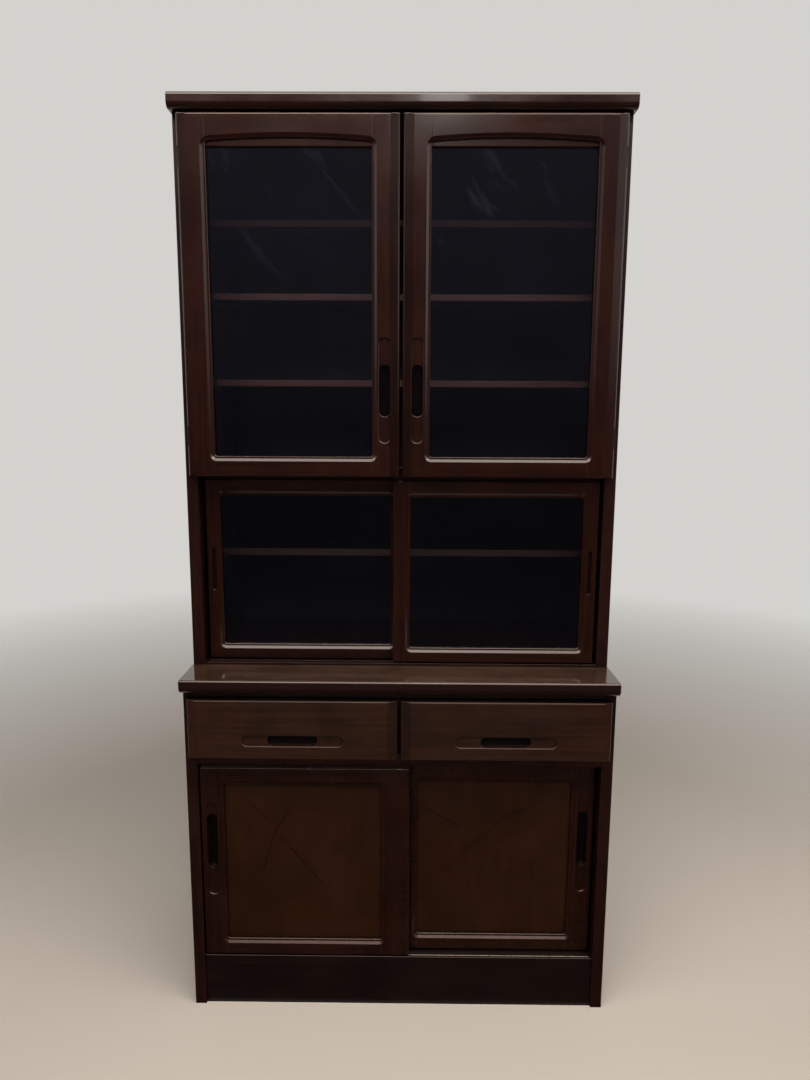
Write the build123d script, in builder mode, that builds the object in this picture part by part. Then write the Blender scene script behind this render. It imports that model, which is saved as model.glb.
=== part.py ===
from build123d import *
import math
import os

# Two-part stacked kitchen cupboard (mizuya): a lower body with sliding wooden doors and two
# drawers, and an upper body with sliding glass doors below and hinged, arched glass doors above.
# Millimetres, +Z up, front faces -Y, origin on the floor under the middle of the whole piece.

os.makedirs("parts", exist_ok=True)

# ---------------------------------------------------------------- carcass sizes
body_width = 880.0          # over the side panels, upper and lower alike
side_thickness = 24.0
body_depth = 437.0          # lower side panels, front edge to back
upper_setback = 82.0        # upper body stands this far behind the lower one
back_thickness = 6.0
edge_softening = 1.5        # rounded arris on the side panels and front rails
edge_chamfer = 1.0          # eased arris on the smaller boards and the sliding doors
track_arris = 0.8

kick_height = 95.0
kick_thickness = 18.0
kick_recess = 5.0
bottom_thickness = 18.0
lower_opening = 439.0       # bottom board to dust board
dust_thickness = 24.0
drawer_space = 135.0        # dust board to counter
counter_thickness = 28.5
sill_thickness = 4.5
middle_opening = 395.5      # sill to middle board
middle_thickness = 21.0
upper_opening = 670.5       # middle board to crown
crown_thickness = 29.0

counter_overhang = 23.0     # ahead of the lower side panels
crown_overhang = 30.0       # ahead of the upper side panels
board_side_overhang = 2.0   # counter and crown past each side
counter_top_round = 5.0
counter_under_round = 13.0
crown_top_round = 6.0
crown_under_round = 11.0

# ---------------------------------------------------------------- inner boards
divider_thickness = 18.0
rail_height = 30.0
rail_thickness = 18.0
rail_recess = 1.0           # front rails lie this far behind the side panels' edges
kicker_width = 18.0
shelf_play = 0.5            # each end of a loose shelf
upper_shelf_setback = 175.0
upper_shelf_thickness = 14.5
top_shelf_height = 523.5    # shelf tops, measured up from the middle board's top
middle_shelf_height = 369.0
low_shelf_height = 183.0
slider_shelf_thickness = 16.0
slider_shelf_height = 217.5  # shelf top above the sill
lower_shelf_setback = 70.0
lower_shelf_thickness = 16.0
lower_shelf_height = 215.0  # shelf top above the bottom board
cleat_height = 12.0
cleat_width = 12.0
cleat_front_gap = 12.0      # cleats stop short of the shelf's front edge

# ---------------------------------------------------------------- overlay doors and drawers
reveal = 11.0               # side panel left showing beside a door or drawer
overlay_thickness = 20.0
overlay_gap = 1.0           # back of an overlay front to the carcass
bevel_width = 20.0          # the front face falls back towards each end
bevel_drop = 3.5
bevel_softening = 12.0      # radius where the face turns into the bevel
end_round = 6.0             # radius of the bevel's outer corner
top_round = 3.5
door_gap = 5.0
door_top_gap = 4.5
door_lap = 18.0             # doors hang this far below the top of the middle board
drawer_gap = 6.0
drawer_top_gap = 13.0
drawer_lap = 1.5            # drawer fronts hang this far below the dust board's top

stile_flat = 45.0           # plain face of a hinged door's stile, up to its moulding
bottom_rail_flat = 30.0
arch_spring_drop = 43.3     # door top down to the ends of the arch
arch_rise = 7.6
arch_corner = 18.0
door_corner = 14.0          # moulding corners at the bottom of a hinged door
rail_arris = 1.5            # eased lower edge of the straight rail
straight_edge_drop = 58.5   # door top down to the straight rail behind the arch

# ---------------------------------------------------------------- moulding and glazing
moulding_width = 9.5        # plain face to the glass or panel's sight line
moulding_depth = 3.8        # face down to the flat land
moulding_taper = 53.0       # degrees; the slope down to the land is some 5 mm wide
moulding_arris = 1.0        # eased inner edge of the land
arch_land = 1.8             # the land is this narrow under an arch
moulding_corner = 14.0
valance_thickness = 8.2
glass_thickness = 3.0
glass_play = 0.3
glass_bite = 5.5            # groove depth for glass and panels
glass_depth = 12.0          # front of a hinged door to its glass

# ---------------------------------------------------------------- sliding doors
slider_thickness = 18.0
slider_spacing = 4.0        # between the two doors of a pair
tongue_thickness = 7.0
tongue_side_play = 0.7
tongue_floor_play = 0.4
groove_clearance_above = 6.0  # lift needed to take a door out
slider_glass_depth = 9.5
panel_thickness = 5.0

wood_slider_lap = 40.0      # what the two widths add up to beyond the opening
wood_slider_front = 5.5     # behind the side panels' front edges
wood_slider_foot = 3.0      # shoulder above the bottom board
wood_slider_head = 10.0     # shoulder below the dust board
wood_groove_floor = 5.0
wood_groove_roof = 15.0
wood_outer_stile = 38.0
wood_meeting_stile = 49.0
wood_rear_meeting_stile = 53.5
wood_top_rail = 29.5
wood_bottom_rail = 25.0
left_wood_rest = 2.0        # each door rests this far from its side panel
right_wood_rest = 4.5

glass_slider_lap = 16.0
glass_slider_front = 4.0
glass_slider_foot = 3.0
glass_slider_head = 7.5
sill_groove_floor = 3.0
middle_groove_roof = 13.0
glass_outer_stile = 21.5
glass_meeting_stile = 25.5
glass_top_rail = 24.0
glass_bottom_rail = 20.5
left_glass_rest = 6.0
right_glass_rest = 7.0

# ---------------------------------------------------------------- routed pulls
pull_length = 205.0
pull_width = 22.0
pull_depth = 3.5
pull_rim = 1.2
pocket_length = 102.0
pocket_depth = 10.0         # below the shallow groove
door_pull_inset = 30.0      # pull centre to the meeting edge
door_pull_height = 170.0    # pull centre above the door's bottom
drawer_pull_height = 38.0
wood_pull_inset = 21.5
wood_pull_height = 243.0
wood_pocket_length = 122.0
wood_pocket_lift = 17.0     # the pocket sits above the middle of a wooden slider's pull
finger_length = 92.0
finger_width = 9.5
finger_depth = 6.0
finger_inset = 15.0
finger_height = 198.0

# ---------------------------------------------------------------- drawer boxes
drawer_side_play = 1.5
drawer_floor_play = 0.4
drawer_side_thickness = 10.0
drawer_box_height = 92.0
drawer_box_length = 380.0
drawer_bottom_thickness = 4.0
drawer_bottom_rise = 8.0
drawer_groove_depth = 5.0
kicker_clearance = 1.5

# ---------------------------------------------------------------- hinges and catches
hinge_height = 36.0
hinge_end_distance = 60.0   # door end to the near end of its hinge
knuckle_radius = 3.0
pin_radius = 1.25
pin_play = 0.2
leaf_thickness = 1.2
leaf_margin = 2.0           # leaves stop this far short of the side panel's inner face
knuckle_gap = 0.3
hinge_axis_offset = 1.0     # axis outside the door's edge
hinge_axis_forward = 4.2    # axis ahead of the upper side panels
notch_clearance = 1.4
catch_length = 45.0
catch_depth = 15.0
catch_height = 14.0
catch_offset = 60.0         # from the middle of the cupboard
strike_gap = 0.3
strike_thickness = 1.2
strike_play = 0.1

# ---------------------------------------------------------------- levels and planes
half_width = body_width / 2
inner_half = half_width - side_thickness
wood_slider_width = inner_half + wood_slider_lap / 2
glass_slider_width = inner_half + glass_slider_lap / 2
same_plane = 0.01           # tolerance when picking a face or corner by its plane

bottom_top = kick_height + bottom_thickness
dust_under = bottom_top + lower_opening
dust_top = dust_under + dust_thickness
counter_under = dust_top + drawer_space
counter_level = counter_under + counter_thickness
sill_top = counter_level + sill_thickness
middle_under = sill_top + middle_opening
middle_top = middle_under + middle_thickness
crown_under = middle_top + upper_opening
crown_level = crown_under + crown_thickness

overall_depth = body_depth + counter_overhang
counter_front = -overall_depth / 2
lower_front = counter_front + counter_overhang
upper_front = lower_front + upper_setback
back_face = overall_depth / 2
back_inside = back_face - back_thickness
crown_front = upper_front - crown_overhang

overlay_edge = half_width - reveal
door_bottom = middle_top - door_lap
door_top = crown_under - door_top_gap
door_face = upper_front - overlay_gap - overlay_thickness
door_back = upper_front - overlay_gap
drawer_bottom = dust_top - drawer_lap
drawer_top = counter_under - drawer_top_gap
drawer_face = lower_front - overlay_gap - overlay_thickness
drawer_back = lower_front - overlay_gap


# ---------------------------------------------------------------- shared shapes
def save(part, name):
    part.label = name
    export_step(part, f"parts/{name}.step")


def box_between(x_span, y_span, z_span, mode=Mode.ADD):
    """A plain block between two corners, in the open part."""
    size = (x_span[1] - x_span[0], y_span[1] - y_span[0], z_span[1] - z_span[0])
    with Locations((x_span[0], y_span[0], z_span[0])):
        Box(*size, align=(Align.MIN, Align.MIN, Align.MIN), mode=mode)


def board(x_span, y_span, z_span, soften=None):
    """A board, with the front arrises along one axis softened."""
    with BuildPart() as piece:
        box_between(x_span, y_span, z_span)
        if soften:
            front_edges = piece.faces().sort_by(Axis.Y)[0].edges().filter_by(soften)
            fillet(front_edges, edge_softening)
    return piece.part


def mirrored(part):
    """The other hand of a piece, across the middle of the cupboard."""
    with BuildPart() as other:
        mirror(part, about=Plane.YZ)
    return other.part


def cut_of(part, x_span, y_span, z_span):
    """What a piece has inside a block."""
    with BuildPart() as piece:
        add(part)
        box_between(x_span, y_span, z_span, mode=Mode.INTERSECT)
    return piece.part


def grooves(x_span, centres, z_span):
    """Running grooves for a pair of sliding doors, cut out of the open board."""
    half_groove = tongue_thickness / 2 + tongue_side_play
    for centre in centres:
        box_between(x_span, (centre - half_groove, centre + half_groove), z_span, mode=Mode.SUBTRACT)


def routed_pull(face, centre, upright=True, pocket_size=pocket_length, pocket_lift=0):
    """A long shallow groove with a deeper finger pocket as wide, cut into a front face."""
    turn = 90 if upright else 0
    front_plane = Plane.XZ.offset(-face)
    with BuildSketch(front_plane) as groove:
        with Locations(centre):
            SlotOverall(pull_length, pull_width, rotation=turn)
    extrude(groove.sketch, amount=-pull_depth, mode=Mode.SUBTRACT)
    with BuildSketch(front_plane.offset(-pull_depth)) as pocket:
        with Locations((centre[0], centre[1] + pocket_lift)):
            SlotOverall(pocket_size, pull_width, rotation=turn)
    extrude(pocket.sketch, amount=-pocket_depth, mode=Mode.SUBTRACT)
    # the rim of the groove is eased, so it catches the light
    with BuildSketch(front_plane) as rim:
        with Locations(centre):
            SlotOverall(pull_length + 2 * pull_rim, pull_width + 2 * pull_rim, rotation=turn)
    extrude(rim.sketch, amount=-pull_rim, taper=45, mode=Mode.SUBTRACT)


def overlay_slab(x_span, z_span, face):
    """An overlay front: its plan is bevelled back at both ends, its section is rounded at the top."""
    left, right = x_span
    low, high = z_span
    back = face + overlay_thickness
    shoulder = face + bevel_drop
    with BuildPart() as slab:
        with BuildSketch(Plane.XY.offset(low)) as plan:
            with BuildLine():
                Polyline(
                    (left + bevel_width, face),
                    (right - bevel_width, face),
                    (right, shoulder),
                    (right, back),
                    (left, back),
                    (left, shoulder),
                    close=True,
                )
            make_face()
            fillet(plan.vertices().filter_by(lambda v: abs(v.Y - shoulder) < same_plane), end_round)
            fillet(plan.vertices().filter_by(lambda v: abs(v.Y - face) < same_plane), bevel_softening)
        extrude(amount=high - low)
        with BuildSketch(Plane.YZ.offset(left)) as section:
            with BuildLine():
                Polyline((face, low), (back, low), (back, high), (face, high), close=True)
            make_face()
            front_corners = section.vertices().group_by(Axis.X)[0].sort_by(Axis.Y)
            fillet(front_corners[-1], top_round)
            front_corners = section.vertices().group_by(Axis.X)[0].sort_by(Axis.Y)
            chamfer(front_corners[0], edge_chamfer)
        extrude(amount=right - left, mode=Mode.INTERSECT)
    return slab.part


def largest_at(frame, level):
    """The largest of a frame's faces that lie in one plane facing front."""
    level_faces = frame.faces().filter_by(Axis.Y)
    level_faces = level_faces.filter_by(lambda item: abs(item.center().Y - level) < same_plane)
    return level_faces.sort_by(SortBy.AREA)[-1]


def moulded_opening(frame, face, outline, depth, under_arch=None):
    """A slope down to a flat land round an opening; outline is the slope's outer line.

    under_arch is the extra part of the opening where the land runs narrow.
    """
    front_plane = Plane.XZ.offset(-face)
    with BuildSketch(front_plane) as recess:
        add(outline)
    extrude(recess.sketch, amount=-moulding_depth, taper=moulding_taper, mode=Mode.SUBTRACT)
    with BuildSketch(front_plane.offset(-moulding_depth)) as sight:
        add(outline)
        offset(amount=-moulding_width, mode=Mode.REPLACE)
        if under_arch is not None:
            add(under_arch)
    extrude(sight.sketch, amount=-(depth - moulding_depth), mode=Mode.SUBTRACT)
    land = largest_at(frame, face + moulding_depth)
    chamfer(land.inner_wires()[0].edges(), moulding_arris)


# ---------------------------------------------------------------- lower carcass
lower_side_left = board(
    (-half_width, -inner_half), (lower_front, back_face), (0, counter_under), Axis.Z
)
lower_side_right = mirrored(lower_side_left)
save(lower_side_left, "lower_side_left")
save(lower_side_right, "lower_side_right")


def slab_with_nose(front, z_span, top_round, under_round):
    """A top board running over the sides, with a rounded front edge."""
    reach = half_width + board_side_overhang
    with BuildPart() as piece:
        box_between((-reach, reach), (front, back_face), z_span)
        nose = piece.faces().sort_by(Axis.Y)[0].edges().filter_by(Axis.X).sort_by(Axis.Z)
        fillet(nose[-1], top_round)
        nose = piece.faces().sort_by(Axis.Y)[0].edges().filter_by(Axis.X).sort_by(Axis.Z)
        fillet(nose[0], under_round)
        ends = piece.faces().filter_by(Axis.X).edges()
        top_ends = ends.filter_by(Axis.Y).group_by(Axis.Z)[-1]
        chamfer(top_ends, edge_chamfer)
    return piece.part


counter_top = slab_with_nose(
    counter_front, (counter_under, counter_level), counter_top_round, counter_under_round
)
save(counter_top, "counter_top")

board_front = lower_front + kick_recess
wood_front_face = lower_front + wood_slider_front
wood_rear_face = wood_front_face + slider_thickness + slider_spacing
wood_centres = (wood_front_face + slider_thickness / 2, wood_rear_face + slider_thickness / 2)

with BuildPart() as lower_bottom_board:
    box_between((-inner_half, inner_half), (board_front, back_inside), (kick_height, bottom_top))
    grooves((-inner_half, inner_half), wood_centres, (bottom_top - wood_groove_floor, bottom_top))
    # the arrises of the front strips are eased where doors and hands pass
    track_edges = lower_bottom_board.faces().filter_by(Axis.Z).group_by(Axis.Z)[-1].edges()
    chamfer(track_edges.filter_by(Axis.X).sort_by(Axis.Y)[0], track_arris)
save(lower_bottom_board.part, "lower_bottom_board")

kick_board = board(
    (-inner_half, inner_half), (board_front, board_front + kick_thickness), (0, kick_height)
)
save(kick_board, "kick_board")

lower_back_panel = board(
    (-inner_half, inner_half), (back_inside, back_face), (kick_height, counter_under)
)
save(lower_back_panel, "lower_back_panel")

rail_front = lower_front + rail_recess
with BuildPart() as dust_board:
    box_between((-inner_half, inner_half), (rail_front, back_inside), (dust_under, dust_top))
    grooves((-inner_half, inner_half), wood_centres, (dust_under, dust_under + wood_groove_roof))
    lower_arris = dust_board.faces().sort_by(Axis.Y)[0].edges().filter_by(Axis.X).sort_by(Axis.Z)[0]
    fillet(lower_arris, edge_softening)
save(dust_board.part, "dust_board")

rail_under = counter_under - rail_height
rail_back = rail_front + rail_thickness
counter_rail = board((-inner_half, inner_half), (rail_front, rail_back), (rail_under, counter_under))
save(counter_rail, "counter_rail")

half_divider = divider_thickness / 2
with BuildPart() as drawer_divider:
    box_between((-half_divider, half_divider), (rail_front, back_inside), (dust_top, counter_under))
    box_between(
        (-half_divider, half_divider), (rail_front, rail_back), (rail_under, counter_under), Mode.SUBTRACT
    )
save(drawer_divider.part, "drawer_divider")

drawer_box_under = dust_top + drawer_floor_play
drawer_box_top = drawer_box_under + drawer_box_height
kicker_under = drawer_box_top + kicker_clearance
kicker_starts = (
    -inner_half,
    -half_divider - kicker_width,
    half_divider,
    inner_half - kicker_width,
)
with BuildPart() as drawer_kickers:
    for start in kicker_starts:
        box_between((start, start + kicker_width), (rail_back, back_inside), (kicker_under, counter_under))
save(drawer_kickers.part, "drawer_kickers")


def shelf(front, top, thickness):
    """A loose shelf between the sides, resting on cleats."""
    reach = inner_half - shelf_play
    with BuildPart() as piece:
        box_between((-reach, reach), (front, back_inside), (top - thickness, top))
        chamfer(piece.faces().sort_by(Axis.Y)[0].edges().filter_by(Axis.X), edge_chamfer)
    return piece.part


def add_cleats(front, under):
    """A pair of cleats under one shelf, in the open part."""
    for left in (-inner_half, inner_half - cleat_width):
        box_between(
            (left, left + cleat_width), (front + cleat_front_gap, back_inside), (under - cleat_height, under)
        )


lower_shelf_front = lower_front + lower_shelf_setback
lower_shelf_top = bottom_top + lower_shelf_height
lower_shelf = shelf(lower_shelf_front, lower_shelf_top, lower_shelf_thickness)
save(lower_shelf, "lower_shelf")
with BuildPart() as lower_shelf_cleats:
    add_cleats(lower_shelf_front, lower_shelf_top - lower_shelf_thickness)
save(lower_shelf_cleats.part, "lower_shelf_cleats")

# ---------------------------------------------------------------- upper carcass
hinge_levels = (
    door_top - hinge_end_distance - hinge_height,
    door_bottom + hinge_end_distance,
)
hinge_axis_x = overlay_edge + hinge_axis_offset
hinge_axis_y = upper_front - hinge_axis_forward
barrel_outer_x = hinge_axis_x + knuckle_radius
leaf_inner_x = inner_half + leaf_margin

upper_side_plain = board(
    (-half_width, -inner_half), (upper_front, back_face), (counter_level, crown_under), Axis.Z
)
with BuildPart() as upper_side:
    add(upper_side_plain)
    # mortises for the fixed leaves of the two hinges
    for level in hinge_levels:
        box_between(
            (-barrel_outer_x, -leaf_inner_x),
            (upper_front, upper_front + leaf_thickness),
            (level, level + hinge_height),
            Mode.SUBTRACT,
        )
upper_side_left = upper_side.part
upper_side_right = mirrored(upper_side_left)
save(upper_side_left, "upper_side_left")
save(upper_side_right, "upper_side_right")

crown_board = slab_with_nose(crown_front, (crown_under, crown_level), crown_top_round, crown_under_round)
save(crown_board, "crown_board")

glass_front_face = upper_front + glass_slider_front
glass_rear_face = glass_front_face + slider_thickness + slider_spacing
glass_centres = (glass_front_face + slider_thickness / 2, glass_rear_face + slider_thickness / 2)

middle_front = upper_front + rail_recess
with BuildPart() as middle_board:
    box_between((-inner_half, inner_half), (middle_front, back_inside), (middle_under, middle_top))
    grooves((-inner_half, inner_half), glass_centres, (middle_under, middle_under + middle_groove_roof))
save(middle_board.part, "middle_board")

with BuildPart() as track_sill:
    box_between((-inner_half, inner_half), (middle_front, back_inside), (counter_level, sill_top))
    grooves((-inner_half, inner_half), glass_centres, (sill_top - sill_groove_floor, sill_top))
save(track_sill.part, "track_sill")

upper_back_panel = board(
    (-inner_half, inner_half), (back_inside, back_face), (counter_level, crown_under)
)
save(upper_back_panel, "upper_back_panel")

shelf_front = upper_front + upper_shelf_setback
shelf_tops = {
    "upper_shelf_top": middle_top + top_shelf_height,
    "upper_shelf_middle": middle_top + middle_shelf_height,
    "upper_shelf_low": middle_top + low_shelf_height,
}
for name, top in shelf_tops.items():
    save(shelf(shelf_front, top, upper_shelf_thickness), name)
slider_shelf_top = sill_top + slider_shelf_height
save(shelf(shelf_front, slider_shelf_top, slider_shelf_thickness), "slider_shelf")

with BuildPart() as upper_shelf_cleats:
    for top in shelf_tops.values():
        add_cleats(shelf_front, top - upper_shelf_thickness)
    add_cleats(shelf_front, slider_shelf_top - slider_shelf_thickness)
save(upper_shelf_cleats.part, "upper_shelf_cleats")

# ---------------------------------------------------------------- hinged glass doors
door_outer = -overlay_edge
door_inner = -door_gap / 2
sight_left = door_outer + stile_flat + moulding_width
sight_right = door_inner - stile_flat - moulding_width
sight_bottom = door_bottom + bottom_rail_flat + moulding_width
straight_edge = door_top - straight_edge_drop
arch_spring = door_top - arch_spring_drop
outline_left = door_outer + stile_flat
outline_right = door_inner - stile_flat
outline_bottom = door_bottom + bottom_rail_flat
door_middle = (outline_left + outline_right) / 2
frame_split = (door_bottom + door_top) / 2

with BuildSketch() as arched_outline:
    with BuildLine():
        Line((outline_left, arch_spring), (outline_left, outline_bottom))
        Line((outline_left, outline_bottom), (outline_right, outline_bottom))
        Line((outline_right, outline_bottom), (outline_right, arch_spring))
        ThreePointArc(
            (outline_right, arch_spring), (door_middle, arch_spring + arch_rise), (outline_left, arch_spring)
        )
    make_face()
    fillet(arched_outline.vertices().group_by(Axis.Y)[-1], arch_corner)
    fillet(arched_outline.vertices().group_by(Axis.Y)[0], door_corner)

slope_width = moulding_depth * math.tan(math.radians(moulding_taper))
with BuildSketch() as under_arch:
    add(arched_outline.sketch)
    offset(amount=-(slope_width + arch_land), mode=Mode.REPLACE)
    with Locations((door_middle, frame_split)):
        Rectangle(
            sight_right - sight_left,
            2 * (arch_spring + arch_rise - frame_split),
            align=(Align.CENTER, Align.MIN),
            mode=Mode.INTERSECT,
        )

door_slab = overlay_slab((door_outer, door_inner), (door_bottom, door_top), door_face)
valance_back = door_face + valance_thickness
knuckle_third = hinge_height / 3

with BuildPart() as door_frame:
    add(door_slab)
    moulded_opening(
        door_frame, door_face, arched_outline.sketch, valance_thickness, under_arch.sketch
    )
    # straight opening behind the arch, and the groove that holds the glass
    box_between(
        (sight_left, sight_right), (valance_back, door_back), (sight_bottom, straight_edge), Mode.SUBTRACT
    )
    box_between(
        (sight_left - glass_bite, sight_right + glass_bite),
        (door_face + glass_depth, door_face + glass_depth + glass_thickness + glass_play),
        (sight_bottom - glass_bite, straight_edge + glass_bite),
        Mode.SUBTRACT,
    )
    routed_pull(door_face, (door_inner - door_pull_inset, door_bottom + door_pull_height))
    # room round each hinge's knuckles, and the door leaf's mortise
    for level in hinge_levels:
        box_between(
            (door_outer - bevel_width, knuckle_radius + notch_clearance - hinge_axis_x),
            (door_face, door_back),
            (level - notch_clearance, level + hinge_height + notch_clearance),
            Mode.SUBTRACT,
        )
        box_between(
            (-hinge_axis_x, -leaf_inner_x),
            (door_back - leaf_thickness, door_back),
            (level, level + hinge_height),
            Mode.SUBTRACT,
        )
    # seat of the strike plate
    box_between(
        (-catch_offset - catch_length / 2, -catch_offset + catch_length / 2),
        (door_back - strike_thickness, door_back),
        (middle_top + strike_play, middle_top + catch_height),
        Mode.SUBTRACT,
    )

door_depth = (door_face - overlay_thickness, door_back + overlay_thickness)
door_height = (door_bottom - reveal, door_top + reveal)
upper_part = (frame_split, door_height[1])
with BuildPart() as straight_rail:
    add(cut_of(door_frame.part, (sight_left, sight_right), (valance_back, door_depth[1]), upper_part))
    lower_edges = straight_rail.faces().sort_by(Axis.Y)[0].edges().filter_by(Axis.X).sort_by(Axis.Z)
    chamfer(lower_edges[0], rail_arris)
door_pieces = {
    "hinge_stile": cut_of(door_frame.part, (door_outer - reveal, sight_left), door_depth, door_height),
    "pull_stile": cut_of(door_frame.part, (sight_right, door_inner + reveal), door_depth, door_height),
    "arched_valance": cut_of(
        door_frame.part, (sight_left, sight_right), (door_depth[0], valance_back), upper_part
    ),
    "top_rail": straight_rail.part,
    "bottom_rail": cut_of(
        door_frame.part, (sight_left, sight_right), door_depth, (door_height[0], frame_split)
    ),
    "glass": board(
        (sight_left - glass_bite + glass_play, sight_right + glass_bite - glass_play),
        (
            door_face + glass_depth + glass_play / 2,
            door_face + glass_depth + glass_play / 2 + glass_thickness,
        ),
        (sight_bottom - glass_bite + glass_play, straight_edge + glass_bite - glass_play),
    ),
    "strike_plate": board(
        (-catch_offset - catch_length / 2 + strike_play, -catch_offset + catch_length / 2 - strike_play),
        (door_back - strike_thickness, door_back),
        (middle_top + 2 * strike_play, middle_top + catch_height - strike_play),
    ),
}


def knuckle(low, high, mode=Mode.ADD, radius=knuckle_radius):
    """A round length on the left door's hinge axis, in the open part."""
    with BuildSketch(Plane.XY.offset(low)) as ring:
        with Locations((-hinge_axis_x, hinge_axis_y)):
            Circle(radius)
    extrude(ring.sketch, amount=high - low, mode=mode)


def third_of(level, index):
    """Where one of a hinge's three knuckles starts and ends."""
    low = level + index * knuckle_third + knuckle_gap / 2
    return low, low + knuckle_third - knuckle_gap


# the fixed leaf passes under the barrel, rolls up round its outside and carries the pin
with BuildPart() as fixed_leaves:
    for level in hinge_levels:
        box_between(
            (-barrel_outer_x, -leaf_inner_x - strike_play),
            (upper_front, upper_front + leaf_thickness),
            (level + strike_play, level + hinge_height - strike_play),
        )
        for index in (0, 2):
            low, high = third_of(level, index)
            box_between(
                (-barrel_outer_x, -barrel_outer_x + leaf_thickness), (hinge_axis_y, upper_front), (low, high)
            )
            knuckle(low, high)
        knuckle(level + knuckle_gap, level + hinge_height - knuckle_gap, radius=pin_radius)

door_leaf_start = -hinge_axis_x + knuckle_radius + notch_clearance / 2
with BuildPart() as door_leaves:
    for level in hinge_levels:
        box_between(
            (door_leaf_start, -leaf_inner_x - strike_play),
            (door_back - leaf_thickness, door_back),
            (level + strike_play, level + hinge_height - strike_play),
        )
        low, high = third_of(level, 1)
        box_between((-hinge_axis_x, door_leaf_start), (door_back - leaf_thickness, door_back), (low, high))
        knuckle(low, high)
        knuckle(low, high, mode=Mode.SUBTRACT, radius=pin_radius + pin_play)
door_pieces["hinge_leaves"] = door_leaves.part
for name, piece in door_pieces.items():
    save(piece, f"upper_door_left_{name}")
    save(mirrored(piece), f"upper_door_right_{name}")

with BuildPart() as hinge_fixed_leaves:
    add(fixed_leaves.part)
    mirror(about=Plane.YZ)
save(hinge_fixed_leaves.part, "hinge_fixed_leaves")

with BuildPart() as magnet_catches:
    for centre in (-catch_offset, catch_offset):
        box_between(
            (centre - catch_length / 2, centre + catch_length / 2),
            (door_back + strike_gap, door_back + strike_gap + catch_depth),
            (middle_top, middle_top + catch_height),
        )
save(magnet_catches.part, "magnet_catches")


# ---------------------------------------------------------------- sliding doors
def slider(left, face, levels, tongue_levels, stiles, rails, infill, pull):
    """A framed sliding door, returned as stiles, rails and its glass or panel.

    levels are the shoulders below and above, tongue_levels the tips of the tongues, stiles and
    rails the plain widths left and right, below and above, infill the depth and thickness of
    the glass or panel, and pull cuts the door's own pull.
    """
    width, low, high = left[1] - left[0], levels[0], levels[1]
    centre = face + slider_thickness / 2
    half_tongue = tongue_thickness / 2
    outline_x = (left[0] + stiles[0], left[1] - stiles[1])
    outline_z = (low + rails[0], high - rails[1])
    sight_x = (outline_x[0] + moulding_width, outline_x[1] - moulding_width)
    sight_z = (outline_z[0] + moulding_width, outline_z[1] - moulding_width)
    infill_depth, infill_thickness = infill
    with BuildSketch() as outline:
        with Locations(((outline_x[0] + outline_x[1]) / 2, (outline_z[0] + outline_z[1]) / 2)):
            RectangleRounded(outline_x[1] - outline_x[0], outline_z[1] - outline_z[0], moulding_corner)
    with BuildPart() as frame:
        box_between(left, (face, face + slider_thickness), (low, high))
        chamfer(frame.faces().sort_by(Axis.Y)[0].edges(), edge_chamfer)
        moulded_opening(frame, face, outline.sketch, infill_depth)
        box_between(sight_x, (face + infill_depth, face + slider_thickness), sight_z, Mode.SUBTRACT)
        box_between(
            (sight_x[0] - glass_bite, sight_x[1] + glass_bite),
            (face + infill_depth, face + infill_depth + infill_thickness + glass_play),
            (sight_z[0] - glass_bite, sight_z[1] + glass_bite),
            Mode.SUBTRACT,
        )
        pull()
        for span in ((tongue_levels[0], low), (high, tongue_levels[1])):
            box_between(left, (centre - half_tongue, centre + half_tongue), span)
    depth = (face - slider_thickness, face + 2 * slider_thickness)
    height = (tongue_levels[0] - reveal, tongue_levels[1] + reveal)
    middle = (low + high) / 2
    with BuildPart() as stile_pair:
        add(cut_of(frame.part, (left[0] - reveal, sight_x[0]), depth, height))
        add(cut_of(frame.part, (sight_x[1], left[1] + reveal), depth, height))
    with BuildPart() as rail_pair:
        add(cut_of(frame.part, sight_x, depth, (height[0], middle)))
        add(cut_of(frame.part, sight_x, depth, (middle, height[1])))
    pane = board(
        (sight_x[0] - glass_bite + glass_play, sight_x[1] + glass_bite - glass_play),
        (face + infill_depth + glass_play / 2, face + infill_depth + glass_play / 2 + infill_thickness),
        (sight_z[0] - glass_bite + glass_play, sight_z[1] + glass_bite - glass_play),
    )
    return stile_pair.part, rail_pair.part, pane


def finger_groove(face, centre):
    """A single short groove to slide a glass door by."""
    with BuildSketch(Plane.XZ.offset(-face)) as groove:
        with Locations(centre):
            SlotOverall(finger_length, finger_width, rotation=90)
    extrude(groove.sketch, amount=-finger_depth, mode=Mode.SUBTRACT)


glass_levels = (sill_top + glass_slider_foot, middle_under - glass_slider_head)
glass_tongues = (
    sill_top - sill_groove_floor + tongue_floor_play,
    middle_under + middle_groove_roof - groove_clearance_above,
)
glass_rails = (glass_bottom_rail, glass_top_rail)
left_glass_start = -inner_half + left_glass_rest
right_glass_end = inner_half - right_glass_rest
finger_level = sill_top + finger_height

glass_slider_left = slider(
    (left_glass_start, left_glass_start + glass_slider_width),
    glass_rear_face,
    glass_levels,
    glass_tongues,
    (glass_outer_stile, glass_meeting_stile),
    glass_rails,
    (slider_glass_depth, glass_thickness),
    lambda: finger_groove(glass_rear_face, (left_glass_start + finger_inset, finger_level)),
)
glass_slider_right = slider(
    (right_glass_end - glass_slider_width, right_glass_end),
    glass_front_face,
    glass_levels,
    glass_tongues,
    (glass_meeting_stile, glass_outer_stile),
    glass_rails,
    (slider_glass_depth, glass_thickness),
    lambda: finger_groove(glass_front_face, (right_glass_end - finger_inset, finger_level)),
)

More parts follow.
